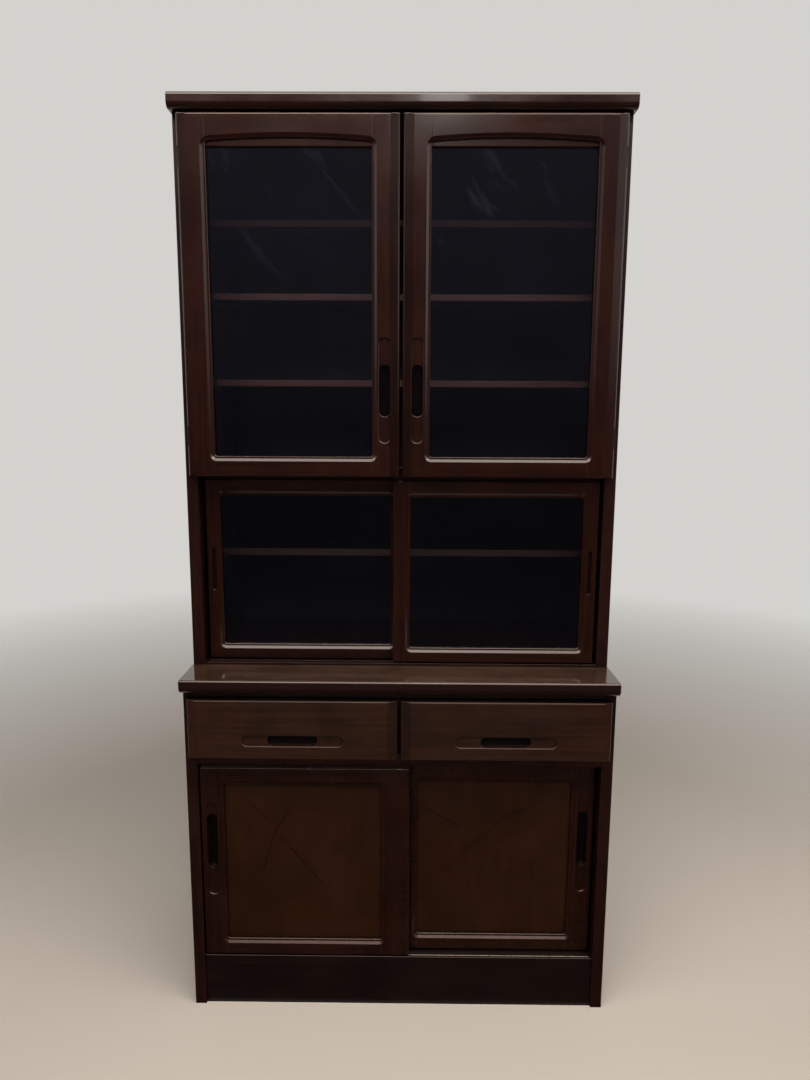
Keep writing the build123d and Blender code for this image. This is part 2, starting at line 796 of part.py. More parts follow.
wood_levels = (bottom_top + wood_slider_foot, dust_under - wood_slider_head)
wood_tongues = (
    bottom_top - wood_groove_floor + tongue_floor_play,
    dust_under + wood_groove_roof - groove_clearance_above,
)
wood_rails = (wood_bottom_rail, wood_top_rail)
left_wood_start = -inner_half + left_wood_rest
right_wood_end = inner_half - right_wood_rest
wood_pull_level = wood_levels[0] + wood_pull_height

wood_slider_left = slider(
    (left_wood_start, left_wood_start + wood_slider_width),
    wood_front_face,
    wood_levels,
    wood_tongues,
    (wood_outer_stile, wood_meeting_stile),
    wood_rails,
    (slider_glass_depth, panel_thickness),
    lambda: routed_pull(
        wood_front_face,
        (left_wood_start + wood_pull_inset, wood_pull_level),
        pocket_size=wood_pocket_length,
        pocket_lift=wood_pocket_lift,
    ),
)
wood_slider_right = slider(
    (right_wood_end - wood_slider_width, right_wood_end),
    wood_rear_face,
    wood_levels,
    wood_tongues,
    (wood_rear_meeting_stile, wood_outer_stile),
    wood_rails,
    (slider_glass_depth, panel_thickness),
    lambda: routed_pull(
        wood_rear_face,
        (right_wood_end - wood_pull_inset, wood_pull_level),
        pocket_size=wood_pocket_length,
        pocket_lift=wood_pocket_lift,
    ),
)

sliders = {
    "glass_slider_left": (glass_slider_left, "glass"),
    "glass_slider_right": (glass_slider_right, "glass"),
    "wood_slider_left": (wood_slider_left, "panel"),
    "wood_slider_right": (wood_slider_right, "panel"),
}
for name, (pieces, infill_name) in sliders.items():
    save(pieces[0], f"{name}_stiles")
    save(pieces[1], f"{name}_rails")
    save(pieces[2], f"{name}_{infill_name}")

# ---------------------------------------------------------------- drawers
drawer_span = (-overlay_edge, -drawer_gap / 2)
drawer_middle = (drawer_span[0] + drawer_span[1]) / 2
with BuildPart() as drawer_front:
    add(overlay_slab(drawer_span, (drawer_bottom, drawer_top), drawer_face))
    routed_pull(drawer_face, (drawer_middle, drawer_bottom + drawer_pull_height), upright=False)

box_left = -inner_half + drawer_side_play
box_right = -half_divider - drawer_side_play
box_end = drawer_back + drawer_box_length
groove_z = (
    drawer_box_under + drawer_bottom_rise,
    drawer_box_under + drawer_bottom_rise + drawer_bottom_thickness + glass_play,
)
inside_left = box_left + drawer_side_thickness
inside_right = box_right - drawer_side_thickness
back_board_start = box_end - drawer_side_thickness
with BuildPart() as drawer_box:
    for span in ((box_left, inside_left), (inside_right, box_right)):
        box_between(span, (drawer_back, box_end), (drawer_box_under, drawer_box_top))
    box_between((inside_left, inside_right), (back_board_start, box_end), (groove_z[1], drawer_box_top))
    box_between(
        (inside_left - drawer_groove_depth, inside_right + drawer_groove_depth),
        (drawer_back, box_end),
        groove_z,
        Mode.SUBTRACT,
    )
drawer_panel = board(
    (inside_left - drawer_groove_depth + glass_play, inside_right + drawer_groove_depth - glass_play),
    (drawer_back, box_end),
    (groove_z[0], groove_z[0] + drawer_bottom_thickness),
)
drawer_pieces = {"front": drawer_front.part, "box": drawer_box.part, "bottom": drawer_panel}
for name, piece in drawer_pieces.items():
    save(piece, f"drawer_left_{name}")
    save(mirrored(piece), f"drawer_right_{name}")
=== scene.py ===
import math

import bpy
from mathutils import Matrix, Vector


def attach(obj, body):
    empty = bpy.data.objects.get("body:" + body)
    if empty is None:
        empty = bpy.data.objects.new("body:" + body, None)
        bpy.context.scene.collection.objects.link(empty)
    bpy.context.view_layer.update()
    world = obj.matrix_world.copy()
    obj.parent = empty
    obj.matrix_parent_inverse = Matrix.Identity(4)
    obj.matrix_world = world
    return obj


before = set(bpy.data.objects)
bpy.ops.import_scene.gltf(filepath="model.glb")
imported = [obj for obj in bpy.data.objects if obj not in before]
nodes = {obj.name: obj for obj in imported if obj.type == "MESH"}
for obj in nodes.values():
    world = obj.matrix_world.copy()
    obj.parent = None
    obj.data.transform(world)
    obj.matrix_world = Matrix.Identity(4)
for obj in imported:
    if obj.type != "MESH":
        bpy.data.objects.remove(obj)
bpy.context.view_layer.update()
mm = 0.001
print("frame loaded:", len(nodes), "nodes")


def hexColor(code):
    # sRGB hex to the linear values that the shaders work in
    values = [int(code[i:i + 2], 16) / 255 for i in (1, 3, 5)]
    linear = [v / 12.92 if v <= 0.04045 else ((v + 0.055) / 1.055) ** 2.4 for v in values]
    return (*linear, 1.0)


def addNode(tree, kind, inputs=None, **settings):
    # inputs holds a value for a socket, or another node's output to link to it
    node = tree.nodes.new(kind)
    for name, value in settings.items():
        setattr(node, name, value)
    for key, value in (inputs or {}).items():
        if isinstance(value, bpy.types.NodeSocket):
            tree.links.new(value, node.inputs[key])
        else:
            node.inputs[key].default_value = value
    return node


def newMaterial(name):
    material = bpy.data.materials.new(name)
    material.use_nodes = True
    material.node_tree.nodes.clear()
    return material, material.node_tree


def finishMaterial(tree, shader):
    addNode(tree, "ShaderNodeOutputMaterial", {"Surface": shader.outputs[0]})


def calc(tree, how, *values, **settings):
    # one step of arithmetic on numbers or other nodes' outputs
    return addNode(tree, "ShaderNodeMath", dict(enumerate(values)), operation=how, **settings).outputs[0]


def times(tree, first, *others):
    for other in others:
        first = calc(tree, "MULTIPLY", first, other)
    return first


def vectorCalc(tree, how, inputs, output=0):
    return addNode(tree, "ShaderNodeVectorMath", inputs, operation=how).outputs[output]


def rising(tree, source, start, end, low=0.0, high=1.0):
    # low up to the start, high past the end, and a straight slope between them
    return addNode(tree, "ShaderNodeMapRange", {"Value": source, "From Min": start, "From Max": end,
                                                "To Min": low, "To Max": high}).outputs[0]


def noise(tree, place, scale, detail, roughness=0.5, distortion=0.0):
    return addNode(tree, "ShaderNodeTexNoise", {"Vector": place, "Scale": scale, "Detail": detail,
                                                "Roughness": roughness, "Distortion": distortion}).outputs


def axesOf(tree, vector):
    return addNode(tree, "ShaderNodeSeparateXYZ", {0: vector}).outputs


def mixColor(tree, factor, a, b, blend="MIX"):
    return addNode(tree, "ShaderNodeMix", {"Factor": factor, "A": a, "B": b}, data_type="RGBA",
                   blend_type=blend).outputs["Result"]


def mixValue(tree, factor, a, b):
    return addNode(tree, "ShaderNodeMix", {"Factor": factor, "A": a, "B": b},
                   data_type="FLOAT").outputs["Result"]


def mixShader(tree, factor, a, b):
    return addNode(tree, "ShaderNodeMixShader", {0: factor, 1: a.outputs[0], 2: b.outputs[0]})


def ramp(tree, source, stops):
    # stops are (position, colour or grey level)
    node = addNode(tree, "ShaderNodeValToRGB", {"Fac": source})
    band = node.color_ramp
    while len(band.elements) < len(stops):
        band.elements.new(0.5)
    for element, (position, value) in zip(band.elements, stops):
        element.position = position
        element.color = value if isinstance(value, tuple) else (value, value, value, 1)
    return node.outputs["Color"]


# stained veneer under sprayed lacquer: deep brown, a faint grain, a soft orange-peel gloss.
# pockets are the deep parts of the pulls, whose floors are painted dark as shade: x and z of the middle,
# half width, half height, and the y of the left and of the right face, all in millimetres
lacquerLooks = {
    "frame": dict(deep="#210e09", warm="#2d140c", edge="#6b4336", figure=0.5, rough=0.19, smudge=0.04,
                  coat=0.20, slopes=0.5, wearAndSheen=0.15, paintedTopHighlight=(1824.6, 1825.6),
                  pockets=[(32.5, 1312.5, 11, 52, -146, -146)]),
    "side": dict(deep="#210c08", warm="#2c120c", edge="#44241a", figure=0.5, rough=0.32, smudge=0.05,
                 shine=0.35),
    "panel": dict(deep="#2b1302", warm="#341703", edge="#5a3322", figure=0.25, rough=0.46, smudge=0.10,
                  shine=0.2, scratched=0.9),
    "slider": dict(deep="#210d05", warm="#2c1208", edge="#6b4233", figure=0.45, rough=0.26, smudge=0.08,
                   coat=0.08, pockets=[(391.2, 376, 11, 61, -201.5, -179.5)]),
    "drawer": dict(deep="#29140a", warm="#381e0f", edge="#4e2f20", figure=0.45, rough=0.38, smudge=0.10,
                   shine=0.35, slopes=0.35, pockets=[(216, 612.5, 51, 11, -228, -228)]),
    "plinth": dict(deep="#150806", warm="#1e0f0a", edge="#20110c", figure=0.4, rough=0.40, smudge=0.08,
                   shine=0.35, arris=0.2),
    "crown": dict(deep="#1d0c08", warm="#27110b", edge="#5c392c", figure=0.45, rough=0.20, smudge=0.08,
                  coat=0.25),
    # painted light: the counter's top colour is paler than its front, as a top lit from above
    "counter": dict(deep="#3b2b21", warm="#4a372c", edge="#4c3428", figure=0.3, rough=0.09, smudge=0.05,
                    coat=0.35, frontRough=0.26, band="#220d08"),
    "shelf": dict(deep="#1e100b", warm="#2b1710", edge="#4c2d22", figure=0.4, rough=0.45, smudge=0.10,
                  band="#683b2e"),
    "inside": dict(deep="#0e0705", warm="#180d08", edge="#2c1b13", figure=0.4, rough=0.55, smudge=0.10,
                   shine=0.3),
    "backPly": dict(deep="#0e0705", warm="#180d08", edge="#6b4a33", figure=0.4, rough=0.6, smudge=0.10,
                    shine=0.3, raw=("#6e4f38", "#8a674a")),
    "drawerBox": dict(deep="#7b5d40", warm="#97775a", edge="#a58768", figure=0.5, rough=0.6, smudge=0.10,
                      shine=0.3),
}
# what they share: scales of the noise, lengths in millimetres, the colours of painted shade and of a painted
# highlight, and the colour of age
veneer = dict(poreScale=900.0, figureScale=120.0, patchScale=9.0, smudgeScale=11.0, peelScale=160.0,
              alongGrain=0.03, facingLimit=0.6, arris=1.2, wearAndSheen=0.35, shine=0.5, paintedShadeReach=22,
              slopeReach=60, pocketRim=1, pocketDepth=5, orangePeel=0.4,
              paintedSlopeShade="#0c0504", paintedPullShade="#080302", paintedHighlight="#b39a8c", scratch="#120703")
# the scratches on the two lower panels, as x and z of their ends in millimetres
panelScratches = dict(width=1.9, wander=1.5, depth=-8.0, lines=[
    ((-314, 459), (-277, 425)), ((-230, 446), (-262, 392)), ((-262, 392), (-288, 306)),
    ((-251, 389), (-161, 277)), ((56, 442), (129, 399)), ((302, 460), (219, 416)), ((219, 416), (131, 332))])


def scratchMask(tree, place):
    # 1 on a scratch and 0 beside it, from the distance to the nearest line
    wobble = vectorCalc(tree, "SCALE", {0: noise(tree, place, 60.0, 2.0)["Color"],
                                        "Scale": panelScratches["wander"] * mm})
    moved = vectorCalc(tree, "ADD", {0: place, 1: wobble})
    flat = vectorCalc(tree, "MULTIPLY", {0: moved, 1: (1, 0, 1)})
    nearest = None
    for start, end in panelScratches["lines"]:
        start = Vector((start[0] * mm, 0, start[1] * mm))
        run = Vector((end[0] * mm, 0, end[1] * mm)) - start
        offset = vectorCalc(tree, "SUBTRACT", {0: flat, 1: start})
        along = vectorCalc(tree, "DOT_PRODUCT", {0: offset, 1: run}, "Value")
        share = calc(tree, "MULTIPLY", along, 1 / run.length_squared, use_clamp=True)
        foot = vectorCalc(tree, "SCALE", {0: run, "Scale": share})
        away = vectorCalc(tree, "DISTANCE", {0: offset, 1: foot}, "Value")
        nearest = away if nearest is None else calc(tree, "MINIMUM", nearest, away)
    return rising(tree, nearest, 0.0, panelScratches["width"] * mm, 1.0, 0.0)


def paintedPullShade(tree, axes, front, pocket):
    # painted shade mask: 1 on the floor of one pull, on the left and on the right door or drawer, and 0
    # elsewhere
    x, z, halfWidth, halfHeight, leftFace, rightFace = pocket
    dirtAndShade = times(tree, front, 0.9)
    for axis, middle, half in (("X", x, halfWidth), ("Z", z, halfHeight)):
        reach = calc(tree, "ABSOLUTE", axes[axis])
        near = calc(tree, "COMPARE", reach, middle * mm, (half + veneer["pocketRim"]) * mm)
        dirtAndShade = times(tree, dirtAndShade, near)
    onRight = calc(tree, "GREATER_THAN", axes["X"], 0.0)
    face = mixValue(tree, onRight, leftFace * mm, rightFace * mm)
    sunk = calc(tree, "GREATER_THAN", calc(tree, "SUBTRACT", axes["Y"], face), veneer["pocketDepth"] * mm)
    return times(tree, dirtAndShade, sunk)


def lacquer(look, grainAlong):
    values = dict(veneer, **lacquerLooks[look])
    material, tree = newMaterial(f"lacqueredVeneer{look.capitalize()}{grainAlong.upper()}")
    place = addNode(tree, "ShaderNodeTexCoord").outputs["Object"]
    axes = axesOf(tree, place)
    flat = addNode(tree, "ShaderNodeNewGeometry").outputs["Normal"]
    facing = axesOf(tree, flat)
    front = calc(tree, "LESS_THAN", facing["Y"], -values["facingLimit"])

    # pores are a millimetre wide and some 40 mm long, so the pattern is squeezed along the grain
    squeeze = [values["alongGrain"] if axis == grainAlong else 1 for axis in "xyz"]
    drawn = addNode(tree, "ShaderNodeMapping", {"Vector": place, "Scale": squeeze}).outputs[0]
    pores = noise(tree, drawn, values["poreScale"], 3.0)["Fac"]
    figure = noise(tree, drawn, values["figureScale"], 4.0, distortion=0.4)["Fac"]
    patches = noise(tree, place, values["patchScale"], 5.0, 0.6)["Fac"]
    grain = mixValue(tree, values["figure"], patches, figure)
    color = ramp(tree, grain, [(0.41, hexColor(values["deep"])), (0.59, hexColor(values["warm"]))])
    color = mixColor(tree, 0.6, color, ramp(tree, pores, [(0.38, 0.78), (0.52, 1.0)]), "MULTIPLY")
    if "band" in values:
        # a thin strip of solid wood covers the front edge; its colour is also painted light: the counter's
        # front is painted darker than its top, as in shade, and the shelves' front edges are painted
        # lighter, as lit
        color = mixColor(tree, front, color, hexColor(values["band"]))
    if "raw" in values:
        # the rear of the plywood was never stained
        bare = ramp(tree, grain, [(0.40, hexColor(values["raw"][0])), (0.60, hexColor(values["raw"][1]))])
        color = mixColor(tree, calc(tree, "GREATER_THAN", facing["Y"], values["facingLimit"]), color, bare)
    if "slopes" in values:
        # painted shade: the long bevels where two fronts meet are painted darker than the flat faces, as
        # they look in shade
        leaning = calc(tree, "COMPARE", calc(tree, "ABSOLUTE", facing["X"]), 0.27, 0.2)
        meeting = calc(tree, "COMPARE", axes["X"], 0.0, values["slopeReach"] * mm)
        slopeShaded = times(tree, leaning, meeting, front, values["slopes"])
        color = mixColor(tree, slopeShaded, color, hexColor(values["paintedSlopeShade"]))
    # painted shade: the floor of each pull is painted near black, as a deep pocket looks in shade
    for pocket in values.get("pockets", []):
        color = mixColor(tree, paintedPullShade(tree, axes, front, pocket), color, hexColor(values["paintedPullShade"]))

    # arrises are a little rounded, and their paler colour is partly wear, where cloths rub the stain thin,
    # and partly a painted highlight, kept off the arrises that face down
    rounded = addNode(tree, "ShaderNodeBevel", {"Radius": values["arris"] * mm}, samples=8).outputs[0]
    turned = vectorCalc(tree, "DOT_PRODUCT", {0: rounded, 1: flat}, "Value")
    wornAndLit = rising(tree, turned, 0.99, 0.86, 0.0, values["wearAndSheen"])
    upward = rising(tree, axesOf(tree, rounded)["Z"], -0.3, -0.05)
    color = mixColor(tree, times(tree, wornAndLit, upward), color, hexColor(values["edge"]))
    # painted shade: recesses and narrow gaps are darkened by ambient occlusion
    shaded = addNode(tree, "ShaderNodeAmbientOcclusion", {"Distance": values["paintedShadeReach"] * mm},
                     samples=8).outputs["AO"]
    color = mixColor(tree, 1.0, color, ramp(tree, shaded, [(0.25, 0.08), (0.85, 1.0)]), "MULTIPLY")
    if "paintedTopHighlight" in values:
        # painted highlight: a pale line along the top arris of the doors, as light catching it
        low, high = values["paintedTopHighlight"]
        paintedHighlight = times(tree, front, rising(tree, axes["Z"], low * mm, high * mm, 0.0, 0.8))
        color = mixColor(tree, paintedHighlight, color, hexColor(values["paintedHighlight"]))

    # hands and cloths leave duller patches in the gloss
    smudges = noise(tree, place, values["smudgeScale"], 5.0, 0.65)["Fac"]
    rough = rising(tree, smudges, 0.35, 0.7, values["rough"] - values["smudge"] / 2,
                   values["rough"] + values["smudge"])
    if "frontRough" in values:
        # the front strip never had the polish of the top
        rough = mixValue(tree, front, rough, values["frontRough"])
    peel = noise(tree, place, values["peelScale"], 2.0)["Fac"]
    heights = calc(tree, "MULTIPLY_ADD", pores, 0.5, peel)
    if "scratched" in values:
        scratched = scratchMask(tree, place)
        darkened = times(tree, scratched, values["scratched"])
        color = mixColor(tree, darkened, color, hexColor(values["scratch"]))
        heights = calc(tree, "MULTIPLY_ADD", scratched, panelScratches["depth"], heights)
    bump = addNode(tree, "ShaderNodeBump", {"Height": heights, "Strength": 0.05, "Normal": rounded,
                                            "Distance": values["orangePeel"] * mm}).outputs[0]
    finishMaterial(tree, addNode(tree, "ShaderNodeBsdfPrincipled", {
        "Base Color": color, "Roughness": rough, "IOR": 1.45, "Normal": bump,
        "Specular IOR Level": values["shine"],
        "Coat Weight": values.get("coat", 0.0), "Coat Roughness": 0.06, "Coat IOR": 1.55}))
    return material


# float glass: clear, reflecting more as it turns away, with a breath of dust on it and, on the
# upper half of the hinged doors, slanting smears left by wiping
glassLook = dict(tint="#e9eef2", atNormal=0.078, polish=0.004, dust="#7f86a6", dustMin=0.002, dustMax=0.006,
                 smears=0.05, smearsFrom=1.46, smearsFull=1.66, smearSlant=-38, smearSize=(0.04, 1, 0.15))


def floatGlass():
    material, tree = newMaterial("floatGlass")
    turned = addNode(tree, "ShaderNodeLayerWeight", {"Blend": 0.5}).outputs["Facing"]
    mirror = rising(tree, calc(tree, "POWER", turned, 5.0), 0.0, 1.0, glassLook["atNormal"])
    clear = addNode(tree, "ShaderNodeBsdfTransparent", {"Color": hexColor(glassLook["tint"])})
    shine = addNode(tree, "ShaderNodeBsdfGlossy", {"Roughness": glassLook["polish"]})
    pane = mixShader(tree, mirror, clear, shine)
    place = addNode(tree, "ShaderNodeTexCoord").outputs["Object"]
    specks = noise(tree, place, 5.0, 8.0, 0.7)["Fac"]
    specks = rising(tree, specks, 0.42, 0.7, glassLook["dustMin"], glassLook["dustMax"])
    slanted = addNode(tree, "ShaderNodeMapping", {
        "Vector": place, "Rotation": (0, math.radians(glassLook["smearSlant"]), 0),
        "Scale": glassLook["smearSize"]}, vector_type="TEXTURE").outputs[0]
    wiped = noise(tree, slanted, 0.9, 7.0, 0.62, 0.5)["Fac"]
    wiped = rising(tree, wiped, 0.58, 0.80, 0.0, glassLook["smears"])
    height = rising(tree, axesOf(tree, place)["Z"], glassLook["smearsFrom"], glassLook["smearsFull"])
    dust = addNode(tree, "ShaderNodeBsdfDiffuse", {"Color": hexColor(glassLook["dust"])})
    dirty = calc(tree, "ADD", specks, times(tree, wiped, height))
    finishMaterial(tree, mixShader(tree, dirty, pane, dust))
    return material


# plain metals and moulded plastic of the fittings
fittingLooks = {
    "blackenedSteel": dict(color="#1c1613", dirtAndShade="#0e0b09", rough=0.5, metallic=0.5),
    "zincPlatedSteel": dict(color="#9a9a98", dirtAndShade="#5e5c58", rough=0.35, metallic=1.0),
    "nickelScrew": dict(color="#8c8984", dirtAndShade="#4a4642", rough=0.3, metallic=1.0),
    "extrudedPaleVinyl": dict(color="#eee0d2", dirtAndShade="#b09c8b", rough=0.22, metallic=0.0),
    "mouldedBrownPlastic": dict(color="#2a1a13", dirtAndShade="#1c110c", rough=0.5, metallic=0.0),
}


def fitting(name):
    values = fittingLooks[name]
    material, tree = newMaterial(name)
    place = addNode(tree, "ShaderNodeTexCoord").outputs["Object"]
    # handling leaves small dull and dirty spots
    spots = noise(tree, place, 220.0, 4.0)["Fac"]
    color = ramp(tree, spots, [(0.35, hexColor(values["dirtAndShade"])), (0.6, hexColor(values["color"]))])
    rough = rising(tree, spots, 0.0, 1.0, values["rough"] - 0.1, values["rough"] + 0.15)
    finishMaterial(tree, addNode(tree, "ShaderNodeBsdfPrincipled", {
        "Base Color": color, "Roughness": rough, "Metallic": values["metallic"]}))
    return material


# which finish each CAD node gets, and the axis that its grain runs along
def looksOf(name):
    if name.endswith("_glass"):
        return "glass", None
    if "leaves" in name:
        return "blackenedSteel", None
    if "strike_plate" in name:
        return "zincPlatedSteel", None
    if "magnet_catches" in name:
        return "mouldedBrownPlastic", None
    if name in ("counter_top", "crown_board"):
        return name.split("_")[0], "x"
    if name in ("kick_board", "lower_bottom_board"):
        return "plinth", "x"
    if name.startswith("wood_slider"):
        return ("panel", "z") if "panel" in name else ("slider", "x" if "rails" in name else "z")
    if "shelf" in name and "cleats" not in name:
        return "shelf", "x"
    if "back_panel" in name:
        return "backPly", "z"
    if name in ("drawer_left_front", "drawer_right_front"):
        return "drawer", "x"
    if name.startswith(("drawer_left", "drawer_right")):
        return "drawerBox", "x" if name.endswith("_bottom") else "y"
    if "cleats" in name or "kickers" in name or "divider" in name:
        return "inside", "y"
    if "side" in name or "stile" in name:
        return ("side" if "side" in name else "frame"), "z"
    return "frame", "x"


made = {}
for name, node in nodes.items():
    look = looksOf(name)
    if look not in made:
        if look[0] == "glass":
            made[look] = floatGlass()
        elif look[0] in fittingLooks:
            made[look] = fitting(look[0])
        else:
            made[look] = lacquer(*look)
    node.data.materials.clear()
    node.data.materials.append(made[look])
print("materials:", len(made))


def deselectAll():
    for item in list(bpy.context.selected_objects):
        item.select_set(False)


def makeActive(piece):
    bpy.context.view_layer.objects.active = piece
    piece.select_set(True)


def settle(piece, name):
    # place goes into the mesh, so the object sits at the origin as the CAD nodes do
    deselectAll()
    makeActive(piece)
    bpy.ops.object.transform_apply(location=True, rotation=True, scale=True)
    piece.name = name
    piece.data.name = name
    return piece


def join(pieces, material):
    deselectAll()
    for piece in pieces:
        piece.select_set(True)
    makeActive(pieces[0])
    bpy.ops.object.join()
    joined = bpy.context.object
    joined.data.materials.append(material)
    return joined


def softBar(name, size, middle, arris, segments):
    # a flat bar with softened arrises, all in millimetres
    deselectAll()
    bpy.ops.mesh.primitive_cube_add(size=mm, location=[value * mm for value in middle])
    bar = bpy.context.object
    bar.scale = size
    settle(bar, name)
    bpy.ops.object.mode_set(mode="EDIT")
    bpy.ops.mesh.select_all(action="SELECT")
    bpy.ops.mesh.bevel(offset=arris * mm, segments=segments, affect="EDGES")
    bpy.ops.object.mode_set(mode="OBJECT")
    return bar


# countersunk cross-head screws of the hinges, catches and strike plates, in millimetres; each
# step of the dome is an inset and how far it rises
screw = dict(radius=2.3, sunk=0.6, domeSteps=((0.5, 0.15), (0.7, 0.10), (0.6, 0.05)), domeTop=0.3,
             arm=2.6, armWidth=0.7, turn=0.9)
hingeHoles = dict(across=422.3, leafFace=-125.0, doorFace=-126.0, ends=(1202.5, 1730.5), holes=(9, 27))
catchHoles = dict(across=(44, 76), face=-117.0, top=1174.5)


def hingeSpots(side, face):
    return [(side * hingeHoles["across"], face, end + hole)
            for end in hingeHoles["ends"] for hole in hingeHoles["holes"]]


screwRows = {
    "hingeLeafScrews": dict(facing="front", spots=hingeSpots(-1, hingeHoles["leafFace"])
                            + hingeSpots(1, hingeHoles["leafFace"])),
    "leftDoorHingeScrews": dict(facing="back", body="upper_door_left",
                                spots=hingeSpots(-1, hingeHoles["doorFace"])),
    "rightDoorHingeScrews": dict(facing="back", body="upper_door_right",
                                 spots=hingeSpots(1, hingeHoles["doorFace"])),
    "catchScrews": dict(facing="top", spots=[(side * x, catchHoles["face"], catchHoles["top"])
                                             for side in (-1, 1) for x in catchHoles["across"]]),
}


def makeScrew():
    # the head faces +z with its rim at the origin, and the cross is sunk into its dome
    deselectAll()
    bpy.ops.mesh.primitive_cylinder_add(vertices=24, radius=screw["radius"] * mm, depth=screw["sunk"] * mm,
                                        location=(0, 0, -screw["sunk"] / 2 * mm))
    head = bpy.context.object
    bpy.ops.object.mode_set(mode="EDIT")
    bpy.ops.mesh.select_mode(type="FACE")
    bpy.ops.mesh.select_all(action="DESELECT")
    bpy.ops.object.mode_set(mode="OBJECT")
    for face in head.data.polygons:
        face.select = face.normal.z > 0.9
    bpy.ops.object.mode_set(mode="EDIT")
    for inset, rise in screw["domeSteps"]:
        bpy.ops.mesh.inset(thickness=inset * mm, depth=rise * mm)
    bpy.ops.object.mode_set(mode="OBJECT")
    for size in ((screw["arm"], screw["armWidth"]), (screw["armWidth"], screw["arm"])):
        deselectAll()
        bpy.ops.mesh.primitive_cube_add(size=mm, location=(0, 0, screw["domeTop"] * mm))
        cutter = bpy.context.object
        cutter.scale = (*size, 1.0)
        cut = head.modifiers.new("cross", "BOOLEAN")
        cut.object = cutter
        cut.operation = "DIFFERENCE"
        cut.solver = "EXACT"
        deselectAll()
        makeActive(head)
        bpy.ops.object.modifier_apply(modifier="cross")
        bpy.data.objects.remove(cutter)
    bpy.ops.object.shade_smooth_by_angle(angle=math.radians(30))
    return head


screwMaterial = fitting("nickelScrew")
firstScrew = makeScrew()
turns = {"front": (math.radians(90), 0, 0), "back": (math.radians(-90), 0, 0), "top": (0, 0, 0)}
for name, row in screwRows.items():
    copies = []
    for index, spot in enumerate(row["spots"]):
        copy = firstScrew.copy()
        copy.data = firstScrew.data.copy()
        bpy.context.scene.collection.objects.link(copy)
        # no two screws were driven to the same angle
        copy.rotation_euler = turns[row["facing"]]
        copy.rotation_euler.rotate_axis("Z", screw["turn"] * index)
        copy.location = [value * mm for value in spot]
        copies.append(settle(copy, name))
    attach(join(copies, screwMaterial), row.get("body", "root"))
bpy.data.objects.remove(firstScrew)

# slippery vinyl tapes lie in the two running grooves of the wooden doors
slipTape = dict(length=826.0, width=7.0, thickness=0.25, arris=0.08, level=108.02, centres=(-192.5, -170.5))
tapes = [softBar("slipTapes", (slipTape["length"], slipTape["width"], slipTape["thickness"]),
                 (0, centre, slipTape["level"] + slipTape["thickness"] / 2), slipTape["arris"], 2)
         for centre in slipTape["centres"]]
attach(join(tapes, fitting("extrudedPaleVinyl")), "root")

# two steel pole strips in the face of each magnet catch
poles = dict(length=30.0, height=1.6, proud=0.1, arris=0.05, across=60, face=-125.7, levels=(1164.6, 1170.4))
strips = [softBar("catchPoles", (poles["length"], 2 * poles["proud"], poles["height"]),
                  (side * poles["across"], poles["face"], level), poles["arris"], 1)
          for side in (-1, 1) for level in poles["levels"]]
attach(join(strips, screwMaterial), "root")
print("fittings ready")


# the studio, in metres: a pale floor that fades into the air at its rim, and behind the camera a
# dark curtain with a ground cloth, which only reflections meet
studio = dict(floorSize=9.0, floorFade=4.5, floorColor="#e2ddd6", airColor="#d4d2ce", ambient=0.24,
              curtainRadius=9.0, curtainHeight=12.0, curtainGap=0.9, clothFront=-0.206, clothLift=0.002)


def keepFrontOf(limit):
    bpy.ops.object.mode_set(mode="EDIT")
    bpy.ops.mesh.select_all(action="SELECT")
    bpy.ops.mesh.bisect(plane_co=(0, limit, 0), plane_no=(0, 1, 0), clear_outer=True)
    bpy.ops.object.mode_set(mode="OBJECT")


deselectAll()
bpy.ops.mesh.primitive_plane_add(size=studio["floorSize"], location=(0, 0, 0))
floor = settle(bpy.context.object, "studioFloor")
floorMaterial, tree = newMaterial("matteFloorPaint")
place = addNode(tree, "ShaderNodeTexCoord").outputs["Object"]
distance = calc(tree, "DIVIDE", vectorCalc(tree, "LENGTH", {0: place}, "Value"), studio["floorFade"])
paint = addNode(tree, "ShaderNodeBsdfPrincipled", {"Base Color": hexColor(studio["floorColor"]),
                                                   "Roughness": 0.8, "Specular IOR Level": 0.2})
clear = addNode(tree, "ShaderNodeBsdfTransparent")
finishMaterial(tree, mixShader(tree, ramp(tree, distance, [(0.30, 0.0), (0.92, 1.0)]), paint, clear))
floor.data.materials.append(floorMaterial)

deselectAll()
bpy.ops.mesh.primitive_cylinder_add(
    vertices=96, radius=studio["curtainRadius"], depth=studio["curtainHeight"], end_fill_type="NOTHING",
    location=(0, 0, studio["curtainHeight"] / 2))
curtain = settle(bpy.context.object, "studioCurtain")
keepFrontOf(-studio["curtainGap"])
deselectAll()
bpy.ops.mesh.primitive_circle_add(vertices=96, radius=studio["curtainRadius"], fill_type="NGON",
                                  location=(0, 0, studio["clothLift"]))
groundCloth = settle(bpy.context.object, "studioGroundCloth")
keepFrontOf(studio["clothFront"])

